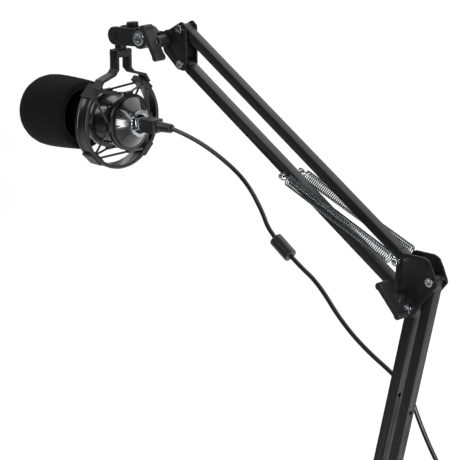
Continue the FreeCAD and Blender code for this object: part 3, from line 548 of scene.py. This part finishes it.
# ---------------------------------------------------------------- stage
class MIC_OT_stage(bpy.types.Operator):
    """Camera, soft lights, the table and the floor below it"""
    bl_idname = "microphone.stage"
    bl_label = "Stage"

    def execute(self, context):
        settings = context.scene.mic_stage
        self.camera(context)
        self.surround(context, settings)
        self.lights(settings)
        self.floor(context)
        return {"FINISHED"}

    def camera(self, context):
        """A long lens on a tripod in front, to the right of the arm."""
        data = bpy.data.cameras.new("Camera")
        data.sensor_width = 36.0
        data.lens = 142.92
        data.clip_start = 0.05
        data.clip_end = 60.0
        camera = bpy.data.objects.new("Camera", data)
        context.scene.collection.objects.link(camera)
        azimuth = math.radians(46.1398)
        elevation = math.radians(16.3276)
        ahead = Vector((-math.sin(azimuth) * math.cos(elevation), math.cos(azimuth) * math.cos(elevation),
                        -math.sin(elevation)))
        level = Vector((math.cos(azimuth), math.sin(azimuth), 0))
        above = level.cross(ahead)
        roll = math.radians(0.119)
        right = level * math.cos(roll) - above * math.sin(roll)
        over = right.cross(ahead)
        place = Vector((1084.91, -1218.94, 933.03)) * MM
        context.scene.view_settings.view_transform = "Standard"
        camera.matrix_world = Matrix((
            (right.x, over.x, -ahead.x, place.x),
            (right.y, over.y, -ahead.y, place.y),
            (right.z, over.z, -ahead.z, place.z),
            (0, 0, 0, 1),
        ))
        context.scene.camera = camera

    def surround(self, context, settings):
        world = bpy.data.worlds.new("White surround")
        context.scene.world = world
        world.use_nodes = True
        back = world.node_tree.nodes["Background"]
        back.inputs["Color"].default_value = (1, 1, 1, 1)
        back.inputs["Strength"].default_value = settings.sky

    def lights(self, settings):
        """A high key on the left, a strip on the right, a card by the camera, a panel over the table."""
        boxes = (
            ("Key", (-1.3, -1.4, 1.9), (-0.15, 0, 0.45), (1.3, 1.3), settings.key_power),
            ("Fill", (1.6, 0.1, 1.2), (0.0, 0, 0.4), (0.5, 1.5), settings.fill_power),
            ("Low", (1.06, -0.56, 0.46), (-0.33, 0, 0.5), (0.34, 0.7), settings.low_power),
            ("Table panel", (-1.8, 4.4, 3.4), (-1.8, 4.4, 0), (9.0, 8.0), settings.table_power),
        )
        for name, place, aim, sides, power in boxes:
            data = bpy.data.lights.new(name, "AREA")
            data.shape = "RECTANGLE"
            data.size, data.size_y = sides
            data.energy = power
            lamp = bpy.data.objects.new(name, data)
            bpy.context.scene.collection.objects.link(lamp)
            lamp.location = place
            lamp.visible_camera = False
            lamp.rotation_mode = "QUATERNION"
            lamp.rotation_quaternion = (Vector(aim) - Vector(place)).to_track_quat("-Z", "Y")

    def floor(self, context):
        """A table edge in the clamp's jaws, running far back, and a floor below."""
        material = pale_surface("matt white sweep")
        clamp_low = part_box("table_clamp")[0]
        edge = clamp_low.y + 9.3 * MM
        thickness = -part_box("clamp_pad")[1].z
        gap = 0.0002
        width = 18.0
        far_edge = 9.0
        floor_drop = 0.6
        slab = bmesh.new()
        bmesh.ops.create_cube(slab, size=1)
        for vert in slab.verts:
            vert.co.x = vert.co.x * width
            vert.co.y = edge if vert.co.y < 0 else far_edge
            vert.co.z = -gap if vert.co.z > 0 else -thickness + gap
        table = bpy.data.meshes.new("Table")
        slab.to_mesh(table)
        slab.free()
        ground = bmesh.new()
        bmesh.ops.create_grid(ground, x_segments=1, y_segments=1, size=12.0)
        for vert in ground.verts:
            vert.co.z = clamp_low.z - floor_drop
        below = bpy.data.meshes.new("Floor")
        ground.to_mesh(below)
        ground.free()
        for name, mesh in (("Table", table), ("Floor", below)):
            mesh.materials.append(material)
            piece = bpy.data.objects.new(name, mesh)
            context.scene.collection.objects.link(piece)


# ---------------------------------------------------------------- cord
class MIC_OT_cord(bpy.types.Operator):
    """The USB cord, its ferrite bead, its put-away coil and its plugs"""
    bl_idname = "microphone.cord"
    bl_label = "Cord"

    def execute(self, context):
        settings = context.scene.mic_cord
        points = self.hanging_run() + self.coil(settings) + self.tail()
        curve = bpy.data.curves.new("usb_cord", "CURVE")
        curve.dimensions = "3D"
        spline = curve.splines.new("NURBS")
        spline.points.add(len(points) - 1)
        for point, place in zip(spline.points, points):
            point.co = (*place, 1)
        spline.order_u = 3
        spline.use_endpoint_u = True
        spline.resolution_u = 6
        curve.bevel_depth = settings.width / 2
        curve.bevel_resolution = 4
        curve.use_fill_caps = True
        curve.materials.append(MATERIALS["jacket"])
        cord = bpy.data.objects.new("usb_cord", curve)
        context.scene.collection.objects.link(cord)
        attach(cord, "microphone")
        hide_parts("usb_cable", "cable_coil")
        bead = softened("ferrite_bead", "plug rubber", 0.5, 8)
        far_plug = softened("usb_a_plug", "plug rubber", 0.5, 6)
        far_shell = eased("usb_a_plug_shell", "nickel", 0.2)
        return {"FINISHED"}

    def hanging_run(self):
        """From the plug's relief down past the arm to the table."""
        start = MIC_CENTRE + TAIL_WAY * (79.5 * MM)
        route = [
            (-248.5, 9, 501), (-207.4, 12, 485.8), (-174.9, 14, 467.6), (-157.0, 19, 439.2),
            (-145.2, 17, 420.7), (-105.3, 19, 393.8), (-80.3, 20, 381.2), (-50.9, 22, 348.8),
            (-20.9, 24, 327.3), (13.3, 25, 311.6), (34.2, 26, 298.8), (46.7, 27, 271.6), (62.4, 27, 246.7),
            (75.3, 27, 230.3), (87, 28, 190), (97, 27, 140), (104, 30, 88), (108.5, 31, 46),
            (109.3, 42, 14), (109.3, 62, 8.2),
        ]
        return [start] + [Vector(place) * MM for place in route]

    def coil(self, settings):
        """Turns side by side and on each other, one cord's width apart."""
        step = settings.width + 0.1 * MM
        outer = 31.9 * MM
        low = settings.width / 2
        climb_from = 0.6
        cells = [(outer - across * step, low + up * step)
                 for across, up in ((0, 1), (0, 2), (1, 2), (2, 2), (2, 1), (1, 1), (1, 0), (0, 0))]
        per_turn = 16
        count = int(settings.turns * per_turn)
        points = []
        for i in range(2, count):
            share = i / per_turn
            cell = min(int(share), len(cells) - 2)
            within = min(share - cell, 1.0)
            ease = max(0.0, min(1.0, (within - climb_from) / (1 - climb_from)))
            radius = cells[cell][0] * (1 - ease) + cells[cell + 1][0] * ease
            height = cells[cell][1] * (1 - ease) + cells[cell + 1][1] * ease
            angle = math.pi - 2 * math.pi * share
            points.append(COIL_CENTRE + Vector((radius * math.cos(angle), radius * math.sin(angle), height)))
        return points

    def tail(self):
        """Out of the coil and into the far plug."""
        return [Vector(place) * MM for place in ((172.4, 74, 3.2), (172, 65.5, 4))]


# ---------------------------------------------------------------- arm
class MIC_OT_arm(bpy.types.Operator):
    """The four square bars, the bracket plates, their bolts and pins"""
    bl_idname = "microphone.arm"
    bl_label = "Scissor arm"

    def execute(self, context):
        edge = context.scene.mic_arm.edge / MM
        for bar in ("lower_bar_left", "lower_bar_right", "upper_bar_bottom", "upper_bar_top"):
            eased(bar, "bar steel", edge, 3)
            eased(bar + "_end_plugs", "nylon", 0.5, 2)
        for bracket in ("base", "elbow", "head"):
            eased(bracket + "_plate_front", "plate steel", 0.45)
            eased(bracket + "_plate_rear", "plate steel", 0.45)
            eased(bracket + "_bolt_sets", "nickel", 0.3)
        for pin in ("base_spring_pin", "elbow_spring_pin", "upper_spring_bar_pin", "lower_spring_bar_pin"):
            eased(pin, "nickel", 0.4)
        return {"FINISHED"}


# ---------------------------------------------------------------- springs
class MIC_OT_springs(bpy.types.Operator):
    """Two pairs of wound tension springs with a hook at each end"""
    bl_idname = "microphone.springs"
    bl_label = "Springs"

    def execute(self, context):
        settings = context.scene.mic_springs
        tree = self.winding_tree()
        lower_anchor = sum(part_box("lower_spring_bar_pin"), Vector()) / 2
        upper_anchor = sum(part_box("upper_spring_bar_pin"), Vector()) / 2
        pairs = (
            ("upper_springs", upper_anchor, joint_at("top_bar_turn"), "bottom_bar", "elbow"),
            ("lower_springs", lower_anchor, joint_at("right_bar_turn"), "left_bar", "base"),
        )
        for node, bar_point, plate_point, bar_body, plate_body in pairs:
            parts = []
            for side in (-1, 1):
                start = Vector((bar_point.x, side * SPRING_OUT_BAR, bar_point.z))
                end = Vector((plate_point.x, side * SPRING_OUT_PLATE, plate_point.z))
                parts.append(self.winding(tree, settings, start, end))
                parts += self.hooks(settings, start, end)
            spring = joined(node + "_wound", parts, None, "spring wire")
            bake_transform(spring)
            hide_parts(node)
        return {"FINISHED"}

    def winding_tree(self):
        """A spiral of wire: named inputs for its length, radius, turns and wire."""
        tree = bpy.data.node_groups.new("Wound spring", "GeometryNodeTree")
        for name in ("Length", "Radius", "Turns", "Wire radius"):
            tree.interface.new_socket(name, in_out="INPUT", socket_type="NodeSocketFloat")
        tree.interface.new_socket("Geometry", in_out="OUTPUT", socket_type="NodeSocketGeometry")
        given = tree.nodes.new("NodeGroupInput").outputs
        spiral = put(tree, "GeometryNodeCurveSpiral", Resolution=18, Rotations=given["Turns"],
                     Start_Radius=given["Radius"], End_Radius=given["Radius"], Height=given["Length"])
        section = put(tree, "GeometryNodeCurvePrimitiveCircle", Resolution=7, Radius=given["Wire radius"])
        wire = put(tree, "GeometryNodeCurveToMesh", Curve=spiral.outputs[0],
                   Profile_Curve=section.outputs[0], Fill_Caps=True)
        real = put(tree, "GeometryNodeRealizeInstances", Geometry=wire.outputs[0])
        dressed = put(tree, "GeometryNodeSetMaterial", Geometry=real.outputs[0],
                      Material=MATERIALS["spring wire"])
        output = tree.nodes.new("NodeGroupOutput")
        tree.links.new(dressed.outputs[0], output.inputs[0])
        return tree

    def winding(self, tree, settings, start, end):
        """One spring's turns, between the hooks at its two ends."""
        way = (end - start).normalized()
        length = (end - start).length - 2 * SPRING_END
        holder = bpy.data.objects.new("Winding", bpy.data.meshes.new("Winding"))
        bpy.context.scene.collection.objects.link(holder)
        maker = holder.modifiers.new("Winding", "NODES")
        maker.node_group = tree
        values = {"Length": length, "Radius": (settings.width - settings.wire) / 2,
                  "Turns": length / settings.pitch, "Wire radius": settings.wire / 2}
        for socket in tree.interface.items_tree:
            if socket.name in values:
                maker[socket.identifier] = values[socket.name]
        mesh = bake(holder)
        bpy.data.objects.remove(holder)
        turn = way.to_track_quat("Z", "X").to_matrix().to_4x4()
        mesh.transform(Matrix.Translation(start + way * SPRING_END) @ turn)
        return link("winding", mesh, "spring wire")

    def hooks(self, settings, start, end):
        """A loop round each pin, led in from the last turn."""
        made = []
        way = (end - start).normalized()
        across = way.cross(Vector((0, 1, 0))).normalized()
        radius = 3.6 * MM
        bends = 14
        for place, inward, reach in ((start, way, 0.8), (end, -way, 0.3)):
            centre = place + inward * reach * MM
            loop = []
            for i in range(bends + 1):
                angle = math.radians(150 - 300 * i / bends)
                loop.append(centre - inward * radius * math.cos(angle) + across * radius * math.sin(angle))
            coil_edge = centre + inward * 8.2 * MM + across * (settings.width - settings.wire) / 2
            lead = [coil_edge, centre + inward * 6.2 * MM + across * 2.4 * MM]
            finish = [centre + inward * 5.4 * MM - across * 0.6 * MM]
            made.append(tube("hook", lead + loop + finish, settings.wire / 2, "spring wire", None))
        return made


# ---------------------------------------------------------------- knobs and head
class MIC_OT_head(bpy.types.Operator):
    """The wing knobs, the tilt stud and the swivel block"""
    bl_idname = "microphone.head"
    bl_label = "Head and knobs"

    def execute(self, context):
        softened("elbow_wing_knob", "knob nylon", 0.55, 7)
        softened("head_wing_knob", "knob nylon", 0.55, 7)
        eased("elbow_knob_bolt", "nickel", 0.4)
        eased("head_knob_bolt", "nickel", 0.4)
        eased("tilt_stud", "plate steel", 0.5)
        softened("swivel_block", "nylon", 0.55, 5)
        eased("swivel_cap", "nickel", 0.5)
        softened("swivel_block_knob", "knob nylon", 0.4, 4)
        eased("yoke_hinge_pin", "plate steel", 0.4)
        return {"FINISHED"}


# ---------------------------------------------------------------- yoke and suspension
class MIC_OT_suspension(bpy.types.Operator):
    """The hanger, yoke arms, open ring, clips and elastic cords"""
    bl_idname = "microphone.suspension"
    bl_label = "Shock mount"

    def execute(self, context):
        softened("yoke_hanger", "nylon", 0.45, 4)
        eased("yoke_bolt", "plate steel", 0.4)
        softened("yoke_arms", "nylon", 0.45, 4)
        eased("shock_ring", "gloss ABS", 0.6, 3, whole=False)
        softened("ring_clips", "nylon", 0.5, 4)
        eased("inner_basket", "gloss ABS", 0.5, 2)
        self.elastics()
        return {"FINISHED"}

    def elastics(self):
        """Sixteen lengths of elastic, from each clip to the lugs either side of it."""
        made = []
        for angle in (45, 135, 225, 315):
            for turn in (-1, 1):
                lug_angle = math.radians(angle + turn * 40.5)
                clip_angle = math.radians(angle + turn * 5)
                for station, shift in ((18.5, 5.5), (-11.5, -5.5)):
                    clip_end = RING_CENTRE + Vector((shift, CLIP_REACH * math.cos(clip_angle),
                                                     CLIP_REACH * math.sin(clip_angle))) * MM
                    lug = Vector((LUG_REACH * math.cos(lug_angle), LUG_REACH * math.sin(lug_angle),
                                  station)) * MM
                    lug_end = MIC_PLACE @ lug
                    middle = (clip_end + lug_end) / 2
                    made.append(tube("elastic", [clip_end, middle, lug_end], ELASTIC_RADIUS, "elastic",
                                     "microphone"))
        cords = joined("elastic_cords_braid", made, "microphone", "elastic")
        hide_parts("elastic_cords")


# ---------------------------------------------------------------- microphone
class MIC_OT_body(bpy.types.Operator):
    """The microphone's barrel, tail, socket and insides"""
    bl_idname = "microphone.body"
    bl_label = "Microphone"

    def execute(self, context):
        eased("mic_barrel", "lacquer", 0.4, 2)
        eased("mic_tail_cone", "cone lacquer", 0.4, 2)
        eased("usb_socket_ring", "nickel", 0.3)
        self.knurl()
        eased("usb_b_socket", "nickel", 0.2)
        eased("usb_b_plug_shell", "nickel", 0.25)
        softened("usb_b_plug", "plug rubber", 0.4, 3)
        keep("mic_grille", "mesh")
        keep("condenser_capsule", "gold")
        keep("circuit_board", "board")
        return {"FINISHED"}

    def knurl(self):
        """Gripping teeth round the socket ring."""
        tree = bpy.data.node_groups.new("Ring teeth", "GeometryNodeTree")
        for name in ("Ring radius", "Tooth width", "Tooth height"):
            tree.interface.new_socket(name, in_out="INPUT", socket_type="NodeSocketFloat")
        tree.interface.new_socket("Count", in_out="INPUT", socket_type="NodeSocketInt")
        tree.interface.new_socket("Geometry", in_out="OUTPUT", socket_type="NodeSocketGeometry")
        given = tree.nodes.new("NodeGroupInput").outputs
        circle = put(tree, "GeometryNodeMeshCircle", Vertices=given["Count"], Radius=given["Ring radius"])
        size = put(tree, "ShaderNodeCombineXYZ", X=given["Tooth width"], Y=given["Tooth width"],
                   Z=given["Tooth height"])
        tooth = put(tree, "GeometryNodeMeshCube", Size=size.outputs[0])
        outward = put(tree, "FunctionNodeAlignRotationToVector", settings={"axis": "X"},
                      Vector=put(tree, "GeometryNodeInputPosition").outputs[0])
        teeth = put(tree, "GeometryNodeInstanceOnPoints", Points=circle.outputs[0],
                    Instance=tooth.outputs[0], Rotation=outward.outputs[0])
        real = put(tree, "GeometryNodeRealizeInstances", Geometry=teeth.outputs[0])
        dressed = put(tree, "GeometryNodeSetMaterial", Geometry=real.outputs[0],
                      Material=MATERIALS["nickel"])
        output = tree.nodes.new("NodeGroupOutput")
        tree.links.new(dressed.outputs[0], output.inputs[0])
        holder = bpy.data.objects.new("Teeth", bpy.data.meshes.new("Teeth"))
        bpy.context.scene.collection.objects.link(holder)
        maker = holder.modifiers.new("Teeth", "NODES")
        maker.node_group = tree
        values = {"Ring radius": 13.5 * MM, "Tooth width": 1.7 * MM, "Tooth height": 3.2 * MM, "Count": 24}
        for socket in tree.interface.items_tree:
            if socket.name in values:
                maker[socket.identifier] = values[socket.name]
        mesh = bake(holder)
        bpy.data.objects.remove(holder)
        mesh.transform(MIC_PLACE @ Matrix.Translation((0, 0, TEETH_AT)))
        link("socket_ring_teeth", mesh, "nickel", "microphone", smooth=False)


class MIC_OT_windscreen(bpy.types.Operator):
    """The foam windscreen"""
    bl_idname = "microphone.windscreen"
    bl_label = "Windscreen"

    def execute(self, context):
        nap = context.scene.mic_windscreen.nap
        profile = []
        parts = 4
        for (r0, z0), (r1, z1) in zip(FOAM_PROFILE, FOAM_PROFILE[1:]):
            for part in range(parts):
                profile.append((r0 + (r1 - r0) * part / parts, z0 + (z1 - z0) * part / parts))
        profile.append(FOAM_PROFILE[-1])
        profile = [(r * MM, z * MM) for r, z in profile]
        foam = turned_skin("foam_windscreen_skin", profile, MIC_PLACE, "foam", "windscreen", steps=160)
        grit = bpy.data.textures.new("Foam grit", "CLOUDS")
        grit.noise_scale = 1.6 * MM
        raise_it = foam.modifiers.new("Grit", "DISPLACE")
        raise_it.texture = grit
        raise_it.texture_coords = "LOCAL"
        raise_it.strength = nap
        raise_it.mid_level = 0.5
        bake(foam)
        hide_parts("foam_windscreen")
        return {"FINISHED"}


# ---------------------------------------------------------------- base
class MIC_OT_clamp(bpy.types.Operator):
    """The swivel foot and the table clamp"""
    bl_idname = "microphone.clamp"
    bl_label = "Base and clamp"

    def execute(self, context):
        eased("swivel_foot", "clamp steel", 0.6)
        eased("table_clamp", "clamp steel", 1.2, 3)
        softened("swivel_lock_screw", "knob nylon", 0.5, 4)
        eased("clamp_pad", "pad rubber", 1.0, 3)
        eased("clamp_screw", "nickel", 0.5)
        eased("clamp_tommy_bar", "nickel", 0.6)
        return {"FINISHED"}


# ---------------------------------------------------------------- panel and run
OPERATORS = (MIC_OT_stage, MIC_OT_cord, MIC_OT_arm, MIC_OT_springs, MIC_OT_head, MIC_OT_suspension,
             MIC_OT_body, MIC_OT_windscreen, MIC_OT_clamp)
SETTINGS = {
    "mic_stage": StageSettings,
    "mic_cord": CordSettings,
    "mic_arm": ArmSettings,
    "mic_springs": SpringSettings,
    "mic_windscreen": WindscreenSettings,
}


class MIC_PT_panel(bpy.types.Panel):
    """Builds the microphone, group by group"""
    bl_idname = "MIC_PT_panel"
    bl_label = "Microphone"
    bl_space_type = "VIEW_3D"
    bl_region_type = "UI"
    bl_category = "Microphone"

    def draw(self, context):
        for kind in OPERATORS:
            self.layout.operator(kind.bl_idname)
        for name, kind in SETTINGS.items():
            column = self.layout.column()
            for field in kind.__annotations__:
                column.prop(getattr(context.scene, name), field)


def register():
    for kind in (*SETTINGS.values(), *OPERATORS, MIC_PT_panel):
        bpy.utils.register_class(kind)
    for name, kind in SETTINGS.items():
        setattr(bpy.types.Scene, name, bpy.props.PointerProperty(type=kind))


def unregister():
    for name in SETTINGS:
        delattr(bpy.types.Scene, name)
    for kind in reversed((*SETTINGS.values(), *OPERATORS, MIC_PT_panel)):
        bpy.utils.unregister_class(kind)


def main():
    register()
    make_materials()
    for kind in OPERATORS:
        group, action = kind.bl_idname.split(".")
        getattr(getattr(bpy.ops, group), action)()


if __name__ == "__main__":
    main()
